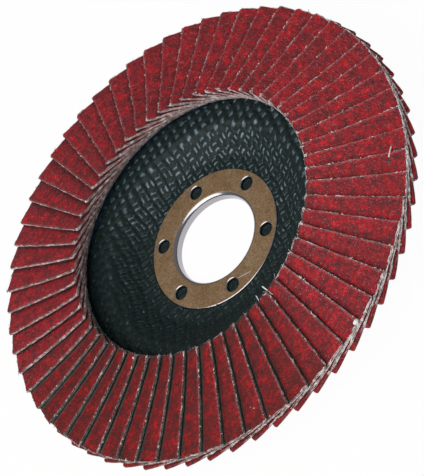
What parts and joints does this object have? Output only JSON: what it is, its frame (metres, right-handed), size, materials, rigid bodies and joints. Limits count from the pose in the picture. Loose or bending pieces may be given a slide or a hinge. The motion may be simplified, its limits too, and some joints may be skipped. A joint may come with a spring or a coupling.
{
  "type": "flap disc",
  "caption": "Abrasive flap disc: shingled cloth flaps bonded round the rim of a dished glass-fibre backing plate with a steel ring at its bore.",
  "frame": {"origin": "on the bore's axis, in the plane of the hub's back face, which is the part's lowest face", "axes": "+Z along the bore's axis from the grinder side towards the abrasive side; X and Y in the plane of the disc"},
  "size_m": [0.1166, 0.1166, 0.0131],
  "materials": {
    "glass_cloth_laminate": "dark green-black resin over coarse woven glass cloth, semi-gloss",
    "plated_steel": "satin tan-gold plated sheet with a bright rolled lip",
    "epoxy": "dark blue cast resin",
    "abrasive_cloth": "red mineral grain on pale woven cloth with frayed cut edges"
  },
  "bodies": {
    "root": {"backing_plate": "glass_cloth_laminate", "arbor_ring": "plated_steel", "adhesive_bed": "epoxy", "flap_pair_01": "abrasive_cloth", "flap_pair_02": "abrasive_cloth", "flap_pair_03": "abrasive_cloth", "flap_pair_04": "abrasive_cloth", "flap_pair_05": "abrasive_cloth", "flap_pair_06": "abrasive_cloth", "flap_pair_07": "abrasive_cloth", "flap_pair_08": "abrasive_cloth", "flap_pair_09": "abrasive_cloth", "flap_pair_10": "abrasive_cloth", "flap_pair_11": "abrasive_cloth", "flap_pair_12": "abrasive_cloth", "flap_pair_13": "abrasive_cloth", "flap_pair_14": "abrasive_cloth", "flap_pair_15": "abrasive_cloth", "flap_pair_16": "abrasive_cloth", "flap_pair_17": "abrasive_cloth", "flap_pair_18": "abrasive_cloth", "flap_pair_19": "abrasive_cloth", "flap_pair_20": "abrasive_cloth", "flap_pair_21": "abrasive_cloth", "flap_pair_22": "abrasive_cloth", "flap_pair_23": "abrasive_cloth", "flap_pair_24": "abrasive_cloth", "flap_pair_25": "abrasive_cloth", "flap_pair_26": "abrasive_cloth", "flap_pair_27": "abrasive_cloth", "flap_pair_28": "abrasive_cloth", "flap_pair_29": "abrasive_cloth", "flap_pair_30": "abrasive_cloth"}
  },
  "joints": []
}
